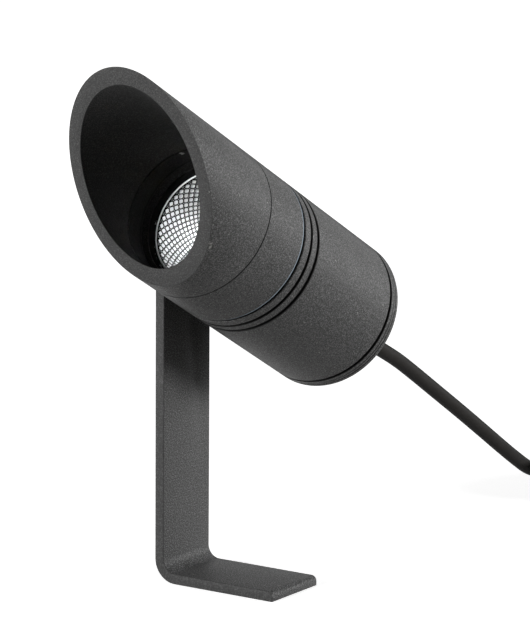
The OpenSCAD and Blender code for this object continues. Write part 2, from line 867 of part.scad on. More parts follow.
module gland_gasket() {
    color(rubber) lamp()
        ring(gland_af / 2 - slip, gland_r + run_fit, -gland_front, -cover_back);
}

module gland_seal() {
    color([0.3, 0.3, 0.32]) lamp()
        ring(gland_r - gland_wall - run_fit, cord_d / 2 + run_fit, -neck_back, -seal_front);
}

module gland_nut() {
    color(powder_dark) lamp() difference() {
        union() {
            hex_nut(gland_af, -gland_back - gland_nut_hex, -gland_back);
            rotate_extrude() polygon([[0, -nut_back], [nut_tail_r - 2 * hex_break, -nut_back],
                [nut_tail_r, 2 * hex_break - nut_back], [nut_tail_r, -gland_back - over],
                [0, -gland_back - over]]);
        }
        disc(gland_r + run_fit, -collar_back, over - gland_back);
        disc(relief_root_r + run_fit, -nut_back - over, -gland_back);
    }
}

// A tapered sleeve with cut rings, held by a collar inside the nut
module strain_relief() {
    step = relief_len / (relief_rings + 1);
    collar_r = gland_r - slip;
    function taper(z) =
        relief_root_r + (relief_tip_r - relief_root_r) * (z - nut_back) / relief_len;
    color(rubber) lamp() rotate_extrude() difference() {
        polygon([[cord_d / 2 + run_fit, -collar_front], [collar_r, -collar_front],
            [collar_r, -collar_back], [relief_root_r, -collar_back], [relief_root_r, -nut_back],
            [relief_tip_r, -relief_back], [cord_d / 2 + run_fit, -relief_back]]);
        for (i = [1 : relief_rings]) {
            z = nut_back + i * step;
            translate([taper(z) - relief_cut, -z - relief_cut])
                square([2 * relief_cut, 2 * relief_cut]);
        }
    }
}

// Flex

module cord_inlet() {
    color(rubber) lamp() disc(cord_d / 2, -relief_back, inlet_end);
}

module cord_run() {
    color(rubber) tube(run_points, cord_d / 2, tube_sides, [1, 0, 0]);
}

module cord_coil() {
    color(rubber) tube(coil_points, cord_d / 2, coil_sides, [0, 0, 1]);
}

module cord_tail() {
    color(rubber) tube(tail_points, cord_d / 2, tube_sides, [0, 0, 1]);
}

module cord_cores() {
    for (side = [-1, 1])
        color(side > 0 ? [0.45, 0.25, 0.12] : [0.15, 0.3, 0.65])
            tube(core_points(side), core_d / 2, tube_sides, [0, 0, 1]);
}

module core_ferrules() {
    for (side = [-1, 1]) {
        p = core_points(side);
        dir = heading(p, core_steps);
        color([0.8, 0.8, 0.8]) translate(last(p))
            rotate([0, acos(dir[2]), atan2(dir[1], dir[0])]) {
                disc(collar_r, 0, collar_len);
                disc(pin_r, 0, collar_len + pin_len);
            }
    }
}

module coil_tie() {
    radii = [for (k = [0 : floor(coil_turns)]) coil_radius(tie_turn + k)];
    near = min(radii) - cord_d / 2 - tie_play;
    far = max(radii) + cord_d / 2 + tie_play;
    top = coil_z + coil_step + cord_d / 2 + tie_play;
    color([0.25, 0.25, 0.25]) translate([coil_x, coil_y, 0]) rotate(180 - 360 * tie_turn)
        rotate([90, 0, 0]) {
            linear_extrude(tie_w, center = true) difference() {
                rounded(near - tie_t, far + tie_t, 0, top + tie_t, cord_d / 2 + tie_t);
                rounded(near, far, tie_t, top, cord_d / 2);
            }
            linear_extrude(2 * tie_w, center = true)
                translate([(near + far - lock_w) / 2, top]) square([lock_w, lock_h]);
        }
}

bracket();
pivot_bush();
friction_washer();
pivot_bolt();
spring_washer();
flat_washer();
threaded_insert();
housing();
front_bezel();
bezel_seal();
glare_shield();
shield_oring();
glass_lens();
lens_gasket();
reflector();
reflector_sleeve();
led_holder();
led_holder_screws();
led_board();
led_chip();
led_phosphor();
thermal_pad();
led_wires();
driver_carrier();
carrier_screws();
driver_board();
driver_inductor();
driver_capacitors();
driver_terminal();
supply_wires();
rear_cover();
cover_oring();
cover_screws();
gland_body();
gland_gasket();
gland_seal();
gland_nut();
strain_relief();
cord_inlet();
cord_run();
cord_coil();
cord_tail();
cord_cores();
core_ferrules();
coil_tie();
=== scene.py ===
"""Looks of an outdoor display spotlight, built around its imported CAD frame.
Lengths are in metres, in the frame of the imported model."""

import math

import bpy
from mathutils import Matrix, Vector


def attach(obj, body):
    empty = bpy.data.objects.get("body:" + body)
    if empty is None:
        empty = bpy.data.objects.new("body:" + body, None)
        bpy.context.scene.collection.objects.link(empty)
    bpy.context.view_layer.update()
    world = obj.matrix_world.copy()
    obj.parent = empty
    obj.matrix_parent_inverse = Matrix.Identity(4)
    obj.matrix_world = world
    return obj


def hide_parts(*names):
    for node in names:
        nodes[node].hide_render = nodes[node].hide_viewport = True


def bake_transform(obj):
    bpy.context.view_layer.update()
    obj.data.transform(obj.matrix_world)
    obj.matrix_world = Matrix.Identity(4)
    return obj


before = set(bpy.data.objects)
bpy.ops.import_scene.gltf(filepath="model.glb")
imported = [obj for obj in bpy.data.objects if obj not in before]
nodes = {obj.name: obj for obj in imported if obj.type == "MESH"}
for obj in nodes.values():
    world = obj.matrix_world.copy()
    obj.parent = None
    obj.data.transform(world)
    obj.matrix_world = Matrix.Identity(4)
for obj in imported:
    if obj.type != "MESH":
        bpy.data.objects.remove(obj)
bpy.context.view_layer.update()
bpy.ops.object.select_all(action="DESELECT")
scene = bpy.context.scene
MM = 0.001
# Distances under which two places count as one: on edges to pick, at welds and on fine rings
SLACK, WELD, TIGHT = 0.02 * MM, 0.01 * MM, 0.001 * MM

# Place and tilt of the lamp's axis, as the frame has them
TILT = math.radians(28.4)
PIVOT = Vector((0, 0, 0.125))
FORWARD = Vector((0, -math.cos(TILT), math.sin(TILT)))
UPWARD = Vector((0, math.sin(TILT), math.cos(TILT)))


def on_lamp(u, s, v):
    """A point u sideways, s forward and v up from the pivot, in the lamp's own directions."""
    return PIVOT + Vector((u, 0, 0)) + FORWARD * s + UPWARD * v


# Camera, at the photograph's viewing angle: its place, its turns in degrees and its lens

CAMERA_PLACE = (0.73637, -1.09084, 0.35135)
CAMERA_TURNS = (33.911, 10.598, 0.424)
SENSOR, FOCAL_LENGTH = 36, 204.39
NEAREST, FARTHEST = 0.01, 20


def place_camera():
    """Adds the camera, turned by its yaw, pitch and roll."""
    data = bpy.data.cameras.new("camera")
    camera = bpy.data.objects.new("camera", data)
    scene.collection.objects.link(camera)
    yaw, pitch, roll = (math.radians(a) for a in CAMERA_TURNS)
    back = Vector((math.sin(yaw) * math.cos(pitch), -math.cos(yaw) * math.cos(pitch),
                   math.sin(pitch)))
    right = (-back).cross(Vector((0, 0, 1))).normalized()
    up = right.cross(-back)
    right, up = (right * math.cos(roll) + up * math.sin(roll),
                 up * math.cos(roll) - right * math.sin(roll))
    turn = Matrix((right, up, back)).transposed().to_4x4()
    camera.matrix_world = Matrix.Translation(CAMERA_PLACE) @ turn
    data.sensor_fit = "AUTO"
    data.sensor_width = SENSOR
    data.lens = FOCAL_LENGTH
    data.clip_start = NEAREST
    data.clip_end = FARTHEST
    scene.camera = camera


place_camera()

# Flex: straight out of the strain relief, down to the floor, wound up and tied. The numbers of
# its route, its tail and its coil are in millimetres

CORD_D, CORD_SIDES = 6 * MM, 16
RELIEF_END, STRAIGHT = 91.1, 6
ROUTE = [(0, 99, 72), (0, 112, 64.5), (0, 127, 55.5), (0, 147, 43.5), (0, 165, 32.5),
         (0, 182, 22), (0, 196, 13.6), (0, 208, 7.2)]
TAIL = [(75, 212.5, 8.4), (72.5, 204, 5.4), (70, 195, 3.6), (68.5, 186, 3.2), (68, 180, 3.2)]
COIL_X, COIL_Y, COIL_Z, COIL_R = 38, 232, 3.9, 38
COIL_TURNS, COIL_STEP = 3.5, 6.6
# Points of the line for each turn of the coil, and between two points of the route
TURN_CUTS, CURVE_CUTS = 48, 5
# Edges with a greater angle than this, in degrees, stay sharp
SHARP = 40


def smooth_curve(points, cuts):
    """A smooth line through points, cut into equal parts between each pair."""
    p = [Vector(q) for q in points]
    line = []
    for i in range(len(p) - 1):
        a, b, c, d = p[max(i - 1, 0)], p[i], p[i + 1], p[min(i + 2, len(p) - 1)]
        for k in range(cuts):
            t = k / cuts
            line.append(0.5 * (2 * b + (c - a) * t + (2 * a - 5 * b + 4 * c - d) * t * t
                               + (3 * b - a - 3 * c + d) * t ** 3))
    return line + [p[-1]]


def coil_point(u):
    """The flex after u turns: it winds inwards, climbs onto itself and winds out again."""
    half = COIL_TURNS / 2
    t = min(max(2 * (u - half) + 0.5, 0), 1)
    r = COIL_R - COIL_STEP * (half - abs(u - half))
    a = math.radians(180 - 360 * u)
    return Vector((COIL_X + r * math.cos(a), COIL_Y + r * math.sin(a),
                   COIL_Z + COIL_STEP * t * t * (3 - 2 * t)))


def cord_line():
    """Middle line of the flex, from the strain relief to the far end."""
    lamp_end = on_lamp(0, -RELIEF_END * MM, 0) / MM
    lead = on_lamp(0, -(RELIEF_END + STRAIGHT) * MM, 0) / MM
    turns = [coil_point(i / TURN_CUTS) for i in range(int(COIL_TURNS * TURN_CUTS) + 1)]
    before = Vector((0, -STRAIGHT, 0))
    start, end = turns[0] + before, turns[-1] + before
    run = smooth_curve([lead] + ROUTE + [start + before], CURVE_CUTS)
    tail = smooth_curve([end + before] + TAIL, CURVE_CUTS)
    return [p * MM for p in [lamp_end] + run + [start] + turns + [end] + tail]


def tube_along(name, line, diameter, sides):
    """A closed tube whose rings are centred on the points of line."""
    curve = bpy.data.curves.new(name, "CURVE")
    curve.dimensions = "3D"
    curve.bevel_depth = diameter / 2
    curve.bevel_resolution = sides // 2 - 2
    curve.use_fill_caps = True
    spline = curve.splines.new("POLY")
    spline.points.add(len(line) - 1)
    for point, place in zip(spline.points, line):
        point.co = (*place, 1)
    tube = bpy.data.objects.new(name, curve)
    scene.collection.objects.link(tube)
    bpy.context.view_layer.objects.active = tube
    tube.select_set(True)
    bpy.ops.object.convert(target="MESH")
    bpy.ops.object.mode_set(mode="EDIT")
    bpy.ops.mesh.select_all(action="SELECT")
    bpy.ops.mesh.remove_doubles(threshold=TIGHT)
    bpy.ops.mesh.normals_make_consistent(inside=False)
    bpy.ops.object.mode_set(mode="OBJECT")
    bpy.ops.object.shade_smooth_by_angle(angle=math.radians(SHARP))
    tube.select_set(False)
    return tube


line = cord_line()
flex = tube_along("flex", line, CORD_D, CORD_SIDES)
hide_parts("cord_run", "cord_coil", "cord_tail")
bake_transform(flex)

# Tools for shaping a piece in edit mode


def active_mesh():
    return bpy.context.object.data


def edit(mode):
    bpy.ops.object.mode_set(mode="EDIT")
    bpy.ops.mesh.select_mode(type=mode)


def leave_edit():
    bpy.ops.object.mode_set(mode="OBJECT")


def pick(kind, wanted):
    """Selects only the vertices, edges or faces for which wanted says yes. Wanted gets a vertex's
    place, the places of an edge's two ends, or a face's middle and its normal."""
    leave_edit()
    mesh = active_mesh()
    spots = [v.co.copy() for v in mesh.vertices]
    flags = {"VERT": mesh.vertices, "EDGE": mesh.edges, "FACE": mesh.polygons}
    for group in flags.values():
        group.foreach_set("select", [False] * len(group))
    for item in flags[kind]:
        if kind == "VERT":
            item.select = wanted(spots[item.index])
        elif kind == "EDGE":
            item.select = wanted(*(spots[i] for i in item.vertices))
        else:
            item.select = wanted(item.center, item.normal)
    edit(kind)


def near(a, b, slack=SLACK):
    return abs(a - b) < slack


def at_height(height):
    """A test for edges of the fine ring at this height."""
    return lambda a, b: near(a.z, height, TIGHT) and near(b.z, height, TIGHT)


def add_modifier(piece, kind, **settings):
    modifier = piece.modifiers.new(kind.lower(), kind)
    for key, value in settings.items():
        setattr(modifier, key, value)
    bpy.context.view_layer.objects.active = piece
    piece.select_set(True)
    bpy.ops.object.modifier_apply(modifier=modifier.name)


def finish_piece(piece, name, node, body, smooth=SHARP):
    """Puts the piece's place into its mesh and lets it stand for its CAD node."""
    leave_edit()
    piece.name = name
    bpy.context.view_layer.objects.active = piece
    piece.select_set(True)
    bpy.ops.object.transform_apply(location=True, rotation=True, scale=True)
    if smooth:
        bpy.ops.object.shade_smooth_by_angle(angle=math.radians(smooth))
    piece.select_set(False)
    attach(piece, body)
    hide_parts(node)
    return piece


def start_ring(radius, height, count):
    """A loose ring of edges round Z, selected in edit mode."""
    bpy.ops.mesh.primitive_circle_add(vertices=count, radius=radius, fill_type="NOTHING",
                                      location=(0, 0, 0), enter_editmode=False)
    edit("EDGE")
    bpy.ops.mesh.select_all(action="SELECT")
    bpy.ops.transform.translate(value=(0, 0, height))
    return bpy.context.object


def next_ring(old, new, twist=0.0):
    """Extrudes the selected ring from (radius, height) old to new, turned by twist."""
    bpy.ops.mesh.extrude_region_move(
        TRANSFORM_OT_translate={"value": (0, 0, new[1] - old[1])})
    share = new[0] / old[0]
    bpy.ops.transform.resize(value=(share, share, 1), center_override=(0, 0, new[1]))
    if twist:
        bpy.ops.transform.rotate(value=twist, orient_axis="Z", center_override=(0, 0, 0))


def set_on_lamp(piece):
    """Places a piece shaped round Z, with the pivot at the origin, along the lamp's axis."""
    leave_edit()
    piece.matrix_world = Matrix.Translation(PIVOT) @ Matrix.Rotation(math.pi / 2 - TILT, 4, "X")


# Bracket: flat bar, bent into a foot, with a round top and broken edges

BAR_T, BAR_W, BAR_FAR = 4 * MM, 30.5 * MM, -36.5 * MM
BEND_OUT = 9 * MM
FOOT_TIP, TIP_ROUND = 17.5 * MM, 2.2 * MM
BAR_HOLE_R, BAR_EDGE = 4 * MM, 0.45 * MM
# Shortfall of the two roundings of the bar's top, which may not meet
TOP_SHORT = 0.002 * MM


def make_bracket():
    top = PIVOT.z + BAR_W / 2
    bpy.ops.mesh.primitive_cube_add(
        size=1, location=(BAR_FAR + BAR_T / 2, 0, (BEND_OUT + top) / 2),
        scale=(BAR_T, BAR_W, top - BEND_OUT))
    piece = bpy.context.object
    bpy.ops.object.transform_apply(location=True, rotation=True, scale=True)
    pick("FACE", lambda c, n: n.z < -0.9)
    bpy.ops.mesh.spin(steps=16, angle=math.pi / 2, axis=(0, 1, 0),
                      center=(BAR_FAR + BEND_OUT, 0, BEND_OUT))
    bpy.ops.mesh.extrude_region_move(
        TRANSFORM_OT_translate={"value": (FOOT_TIP - BAR_FAR - BEND_OUT, 0, 0)})
    pick("EDGE", lambda a, b: near(a.z, top) and near(b.z, top) and near(a.y, b.y))
    bpy.ops.mesh.bevel(offset=BAR_W / 2 - TOP_SHORT, segments=32, affect="EDGES",
                       clamp_overlap=True)
    pick("EDGE", lambda a, b: near(a.x, FOOT_TIP) and near(b.x, FOOT_TIP)
         and near(a.z, BAR_T) and near(b.z, BAR_T))
    bpy.ops.mesh.bevel(offset=TIP_ROUND, segments=8, affect="EDGES")
    bpy.ops.mesh.select_all(action="SELECT")
    bpy.ops.mesh.remove_doubles(threshold=WELD)
    bpy.ops.mesh.normals_make_consistent(inside=False)
    leave_edit()
    bpy.ops.mesh.primitive_cylinder_add(
        vertices=64, radius=BAR_HOLE_R, depth=3 * BAR_T, rotation=(0, math.pi / 2, 0),
        location=(BAR_FAR + BAR_T / 2, 0, PIVOT.z))
    drill = bpy.context.object
    drill.select_set(False)
    add_modifier(piece, "BOOLEAN", operation="DIFFERENCE", object=drill, solver="EXACT")
    bpy.data.objects.remove(drill)
    add_modifier(piece, "BEVEL", width=BAR_EDGE, segments=3, limit_method="ANGLE",
                 angle_limit=math.radians(SHARP))
    return finish_piece(piece, "bent_bar", "bracket", "base")


# Glare shield: turned tube with a counterbore, cut at a slant, with broken edges

BODY_R, SHIELD_BORE_R, COUNTERBORE_R = 30 * MM, 25 * MM, 27.45 * MM
SHIELD_BACK, COUNTERBORE_END, SEAM = 44.1 * MM, 52.6 * MM, 0.2 * MM
MOUTH, REACH = 86 * MM, 122 * MM
SLANT = math.radians(45)
SHIELD_SIDES = 256
# Width of the broken edges, and the least angle in degrees that an edge needs to be broken
SHIELD_EDGE, SHIELD_SHARP = 0.35 * MM, 38


def on_mouth(p):
    """Whether a point lies in the slanted plane of the mouth."""
    return near(p.z - p.y, MOUTH, WELD)


def make_glare_shield():
    rings = [(BODY_R, REACH), (BODY_R, SHIELD_BACK + SEAM), (BODY_R - SEAM, SHIELD_BACK),
             (COUNTERBORE_R, SHIELD_BACK), (COUNTERBORE_R, COUNTERBORE_END),
             (SHIELD_BORE_R, COUNTERBORE_END), (SHIELD_BORE_R, REACH)]
    piece = start_ring(*rings[0], SHIELD_SIDES)
    for old, new in zip(rings, rings[1:]):
        next_ring(old, new)
    bpy.ops.mesh.select_all(action="SELECT")
    bpy.ops.mesh.bisect(plane_co=(0, 0, MOUTH), plane_no=(0, -math.sin(SLANT), math.cos(SLANT)),
                        clear_outer=True, use_fill=False)
    pick("EDGE", lambda a, b: on_mouth(a) and on_mouth(b))
    bpy.ops.mesh.bridge_edge_loops()
    bpy.ops.mesh.select_all(action="SELECT")
    bpy.ops.mesh.normals_make_consistent(inside=False)
    set_on_lamp(piece)
    add_modifier(piece, "BEVEL", width=SHIELD_EDGE, segments=3, limit_method="ANGLE",
                 angle_limit=math.radians(SHIELD_SHARP))
    return finish_piece(piece, "slanted_shield", "glare_shield", "shield")


# Reflector: spun bowl with rows of small pillow facets that run in spirals

THROAT_R, MOUTH_R, THROAT_Z, LIP_Z = 6.3 * MM, 21.6 * MM, 8.8 * MM, 37.15 * MM
LIP_ROUND = 0.3 * MM
BOWL_WALL, FLANGE_R, NECK_END, FLANGE_BACK = 0.6 * MM, 23.35 * MM, 36.5 * MM, 35.9 * MM
MIRROR_SLOT, CREASE_SLOT = 0, 1
ROWS_END = LIP_Z - LIP_ROUND
FACETS = 44
# Steps of the bowl's back, and those of the lip's rounding in degrees
BACK_STEPS, LIP_STEP = 12, 20
# Slack of the radius that tells the bowl's inside from its back
INSIDE_SLACK = 0.1 * MM
# Share of a facet's edges cut off at its corners, in percent, then the steps of its pillow as
# shares of its edges: width and rise of the flat crease, of the steep and of the easy slope
CORNER_CUT = 22
PILLOW_STEPS = [(0.29, 0.0), (0.20, 0.05), (0.30, 0.05)]
PILLOW_CROWN = 0.04
# Least area of a facet, as a share of its distance from the axis squared
FACET_SHARE = 0.004


def bowl_r(z):
    """Inside radius of the reflector, a parabola from its throat to its mouth."""
    return math.sqrt(THROAT_R ** 2 + (MOUTH_R ** 2 - THROAT_R ** 2) * (z - THROAT_Z)
                     / (LIP_Z - THROAT_Z))


def facet_rows():
    """Rings from throat to mouth, each a step of half a facet's width from the one before."""
    rows, z = [], THROAT_Z
    while z < ROWS_END:
        rows.append(z)
        slope = (MOUTH_R ** 2 - THROAT_R ** 2) / (LIP_Z - THROAT_Z) / 2 / bowl_r(z)
        z += math.pi / FACETS * bowl_r(z) / math.hypot(1, slope)
    scale = (ROWS_END - THROAT_Z) / (z - THROAT_Z)
    return [THROAT_Z + (r - THROAT_Z) * scale for r in rows] + [ROWS_END]


def in_bowl(z):
    """Whether a height lies between the throat and the lip, and on neither."""
    return THROAT_Z + WELD < z < ROWS_END - WELD


def on_facets(p):
    """Whether a point lies on the bowl's inside."""
    return in_bowl(p.z) and p.xy.length < bowl_r(p.z) + INSIDE_SLACK


def raise_pillows():
    """Turns every facet into a low pillow inside a flat crease, with its corners cut off."""
    pick("VERT", on_facets)
    bpy.ops.mesh.bevel(offset_type="PERCENT", offset_pct=CORNER_CUT, affect="VERTICES")
    leave_edit()
    for face in active_mesh().polygons:
        least = FACET_SHARE * face.center.xy.length_squared
        facet = on_facets(face.center)
        face.select = facet and face.area > least
        face.material_index = CREASE_SLOT if facet else MIRROR_SLOT
    edit("FACE")
    for step, (width, rise) in enumerate(PILLOW_STEPS):
        bpy.ops.mesh.inset(use_individual=True, use_relative_offset=True, thickness=width,
                           depth=rise)
        if step == 0:
            leave_edit()
            for face in active_mesh().polygons:
                if face.select:
                    face.material_index = MIRROR_SLOT
            edit("EDGE")
            bpy.ops.mesh.mark_sharp()
            bpy.ops.mesh.select_mode(type="FACE")
    bpy.ops.mesh.poke(offset=PILLOW_CROWN, use_relative_offset=True)


def make_reflector():
    rows = [(bowl_r(z), z) for z in facet_rows()]
    piece = start_ring(*rows[0], FACETS)
    for old, new in zip(rows, rows[1:]):
        next_ring(old, new, twist=math.pi / FACETS)
    bpy.ops.mesh.select_all(action="SELECT")
    bpy.ops.mesh.quads_convert_to_tris(quad_method="SHORTEST_DIAGONAL")
    pick("EDGE", lambda a, b: near(a.z, b.z, TIGHT) and in_bowl(a.z))
    bpy.ops.mesh.dissolve_edges(use_verts=False)
    pick("EDGE", at_height(ROWS_END))
    back_top = LIP_Z - BOWL_WALL
    back = [back_top - (back_top - THROAT_Z) * i / BACK_STEPS for i in range(1, BACK_STEPS + 1)]
    rounding = [math.radians(a) for a in range(180, -1, -LIP_STEP)]
    rim = [(bowl_r(ROWS_END), ROWS_END)]
    rim += [(MOUTH_R + LIP_ROUND * (1 + math.cos(a)), ROWS_END + LIP_ROUND * math.sin(a))
            for a in rounding]
    rim += [(MOUTH_R + BOWL_WALL, NECK_END), (FLANGE_R, NECK_END), (FLANGE_R, FLANGE_BACK),
            (MOUTH_R + BOWL_WALL, FLANGE_BACK)]
    rim += [(bowl_r(z) + BOWL_WALL, z) for z in back]
    for old, new in zip(rim, rim[1:]):
        next_ring(old, new)
    pick("EDGE", at_height(THROAT_Z))
    bpy.ops.mesh.bridge_edge_loops()
    bpy.ops.mesh.select_all(action="SELECT")
    bpy.ops.mesh.normals_make_consistent(inside=False)
    raise_pillows()
    set_on_lamp(piece)
    for face in active_mesh().polygons:
        face.use_smooth = True
    return finish_piece(piece, "facetted_reflector", "reflector", "head",
                        smooth=None)


bent_bar = make_bracket()
slanted_shield = make_glare_shield()
facetted_reflector = make_reflector()

# Shader groups shared by the finishes


class Graph:
    """Adds linked nodes to a material or a group."""

    def __init__(self, tree):
        self.tree = tree

    def node(self, kind, inputs=(), **settings):
        node = self.tree.nodes.new(kind)
        for key, value in settings.items():
            setattr(node, key, value)
        for key, value in dict(inputs).items():
            self.put(node, key, value)
        return node

    def put(self, node, key, value):
        socket = node.inputs[key]
        if isinstance(value, bpy.types.NodeSocket):
            self.tree.links.new(value, socket)
        else:
            socket.default_value = value

    def math(self, operation, a, b=0.0, clamp=False):
        return self.node("ShaderNodeMath", {0: a, 1: b}, operation=operation,
                         use_clamp=clamp).outputs[0]

    def ramp(self, value, low, high, out_low=0.0, out_high=1.0, smooth=True):
        kind = "SMOOTHSTEP" if smooth else "LINEAR"
        return self.node("ShaderNodeMapRange", {"Value": value, 1: low, 2: high, 3: out_low,
                                                4: out_high}, interpolation_type=kind).outputs[0]

    def noise(self, vector, scale, detail=2.0, roughness=0.5):
        return self.node("ShaderNodeTexNoise", {"Vector": vector, "Scale": scale,
                                                "Detail": detail,
                                                "Roughness": roughness}).outputs["Fac"]

    def mix(self, factor, a, b):
        node = self.node("ShaderNodeMix", {"Factor": factor}, data_type="RGBA")
        self.put(node, 6, a)
        self.put(node, 7, b)
        return node.outputs[2]


def new_group(name, inputs, outputs):
    """An empty group: its tree, its graph, its inputs and a function that fills an output."""
    tree = bpy.data.node_groups.new(name, "ShaderNodeTree")
    for label, kind, value in inputs:
        socket = tree.interface.new_socket(label, in_out="INPUT", socket_type=kind)
        if value is not None:
            socket.default_value = value
    for label, kind in outputs:
        tree.interface.new_socket(label, in_out="OUTPUT", socket_type=kind)
    graph = Graph(tree)
    entry, leave = tree.nodes.new("NodeGroupInput"), tree.nodes.new("NodeGroupOutput")
    return tree, graph, entry.outputs, lambda label, value: graph.put(leave, label, value)


def use_group(graph, tree, inputs):
    return graph.node("ShaderNodeGroup", inputs, node_tree=tree).outputs


FLOAT, COLOR, VECTOR = "NodeSocketFloat", "NodeSocketColor", "NodeSocketVector"
# Scale of the coat's coarse and broad noise as shares of that of the fine one, how much the
# coarse one adds to the relief, and how far the two shift the gloss and the tone
COARSE, BROAD, COARSE_RELIEF = 0.28, 0.02, 0.8
GLOSS_SHIFT, TONE_SHIFT = (-0.05, 0.05), (0.93, 1.07)
# Levels of the coat's fine noise between which light specks and dark pits set in, and how much
# of their colour shows
SPECKS, SPECK_SHARE = (0.49, 0.66), 0.75
PITS, PIT_SHARE = (0.36, 0.50), 0.6
# Dust on the coat: width of the cells that may hold one mote, in millimetres, its size as a
# share of the cell, the draw from which a cell has one, its colour and how much of that shows
DUST_CELL, MOTE, MOTE_DRAW = 5.0, (0.045, 0.075), (0.55, 0.6)
DUST, DUST_SHARE = (0.42, 0.42, 0.40, 1), 0.55
# Soft border of lines and cuts on the coat
EDGE_SOFT = 0.04 * MM
# Colour of rubbed spots and painted glints, grain of their outline in millimetres, and their
# border's noise levels
SCUFF_AND_GLINT_TONE, SCUFF_AND_GLINT_GRAIN, SCUFF_AND_GLINT_BORDER = (0.30, 0.30, 0.29, 1), 1.6, (0.48, 0.56)


def make_coat_grain():
    """Fine orange-peel of a textured powder coat, with light and dark specks."""
    tree, g, given, give = new_group(
        "coat_grain",
        [("Vector", VECTOR, None), ("Size", FLOAT, 0.45), ("Color", COLOR, (0.05, 0.05, 0.05, 1)),
         ("Light", COLOR, (0.12, 0.12, 0.13, 1)), ("Dark", COLOR, (0.01, 0.01, 0.01, 1)),
         ("Roughness", FLOAT, 0.5)],
        [("Color", COLOR), ("Roughness", FLOAT), ("Height", FLOAT)])
    scale = g.math("DIVIDE", 1000.0, given["Size"])
    fine = g.noise(given["Vector"], scale, 4.0, 0.72)
    coarse = g.noise(given["Vector"], g.math("MULTIPLY", scale, COARSE), 2.0, 0.5)
    broad = g.noise(given["Vector"], g.math("MULTIPLY", scale, BROAD), 3.0, 0.6)
    specks = g.ramp(fine, *SPECKS)
    pits = g.ramp(fine, *PITS, 1.0, 0.0)
    color = g.mix(g.math("MULTIPLY", specks, SPECK_SHARE), given["Color"], given["Light"])
    color = g.mix(g.math("MULTIPLY", pits, PIT_SHARE), color, given["Dark"])
    tone = g.ramp(broad, 0.3, 0.7, *TONE_SHIFT, smooth=False)
    color = g.node("ShaderNodeHueSaturation", {"Value": tone, "Color": color}).outputs[0]
    cells = g.node("ShaderNodeTexVoronoi", {"Vector": given["Vector"], "Scale": 1000 / DUST_CELL},
                   voronoi_dimensions="3D").outputs
    chosen = g.node("ShaderNodeSeparateColor", {"Color": cells["Color"]}).outputs[0]
    mote = g.math("MULTIPLY", g.ramp(cells["Distance"], *MOTE, 1.0, 0.0),
                  g.ramp(chosen, *MOTE_DRAW))
    color = g.mix(g.math("MULTIPLY", mote, DUST_SHARE), color, DUST)
    give("Color", color)
    give("Roughness", g.math("ADD", given["Roughness"],
                             g.ramp(coarse, 0.3, 0.7, *GLOSS_SHIFT, smooth=False)))
    give("Height", g.math("ADD", fine, g.math("MULTIPLY", coarse, COARSE_RELIEF)))
    return tree


# Levels of noise between which handling marks and dust motes set in, scale of the motes as a
# share of the marks', and how much the marks dull the gloss
MARKS, MOTES, MOTE_SCALE, MARK_DULLING = (0.35, 0.75), (0.70, 0.80), 12.0, 1.2


def make_soiling():
    """Faint handling marks: a slow change of tone and of gloss, with a little dust."""
    tree, g, given, give = new_group(
        "soiling",
        [("Vector", VECTOR, None), ("Color", COLOR, (0.5, 0.5, 0.5, 1)),
         ("Dust", COLOR, (0.35, 0.34, 0.32, 1)), ("Amount", FLOAT, 0.05),
         ("Roughness", FLOAT, 0.4), ("Size", FLOAT, 8.0)],
        [("Color", COLOR), ("Roughness", FLOAT)])
    scale = g.math("DIVIDE", 1000.0, given["Size"])
    broad = g.noise(given["Vector"], scale, 4.0, 0.6)
    fine = g.noise(given["Vector"], g.math("MULTIPLY", scale, MOTE_SCALE), 2.0, 0.7)
    film = g.math("MULTIPLY", g.ramp(broad, *MARKS), given["Amount"])
    motes = g.math("MULTIPLY", g.ramp(fine, *MOTES), g.math("MULTIPLY", given["Amount"], 2.0))
    give("Color", g.mix(g.math("ADD", film, motes, clamp=True), given["Color"], given["Dust"]))
    give("Roughness", g.math("ADD", given["Roughness"], g.math("MULTIPLY", film, MARK_DULLING)))
    return tree


def make_turning():
    """Fine rings left by turning, round the Z of the given coordinates."""
    tree, g, given, give = new_group(
        "turning",
        [("Vector", VECTOR, None), ("Pitch", FLOAT, 0.15)],
        [("Height", FLOAT), ("Mask", FLOAT)])
    parts = g.node("ShaderNodeSeparateXYZ", {0: given["Vector"]}).outputs
    radius = g.math("SQRT", g.math("ADD", g.math("MULTIPLY", parts[0], parts[0]),
                                   g.math("MULTIPLY", parts[1], parts[1])))
    where = g.node("ShaderNodeCombineXYZ", {0: radius, 1: parts[2]}).outputs[0]
    rings = g.noise(where, g.math("DIVIDE", 1000.0, given["Pitch"]), 2.0, 0.6)
    give("Height", rings)
    give("Mask", g.ramp(rings, 0.35, 0.65))
    return tree


def lamp_axis(graph, place):
    """Object coordinates turned so that Z runs along the lamp, from the pivot."""
    return graph.node("ShaderNodeMapping", {"Vector": place, "Location": PIVOT,
                                            "Rotation": (math.pi / 2 - TILT, 0, 0)},
                      vector_type="TEXTURE").outputs[0]


def make_lamp_place():
    """Distance from the lamp's axis, and ways sideways, up and forward from the pivot."""
    tree, g, given, give = new_group(
        "lamp_place",
        [("Vector", VECTOR, None)],
        [("Radius", FLOAT), ("Sideways", FLOAT), ("Upward", FLOAT), ("Station", FLOAT)])
    parts = g.node("ShaderNodeSeparateXYZ", {0: lamp_axis(g, given["Vector"])}).outputs
    flat = g.node("ShaderNodeCombineXYZ", {0: parts[0], 1: parts[1]}).outputs[0]
    away = g.node("ShaderNodeVectorMath", {0: flat}, operation="LENGTH").outputs["Value"]
    for label, value in zip(("Radius", "Sideways", "Upward", "Station"), (away, *parts)):
        give(label, value)
    return tree


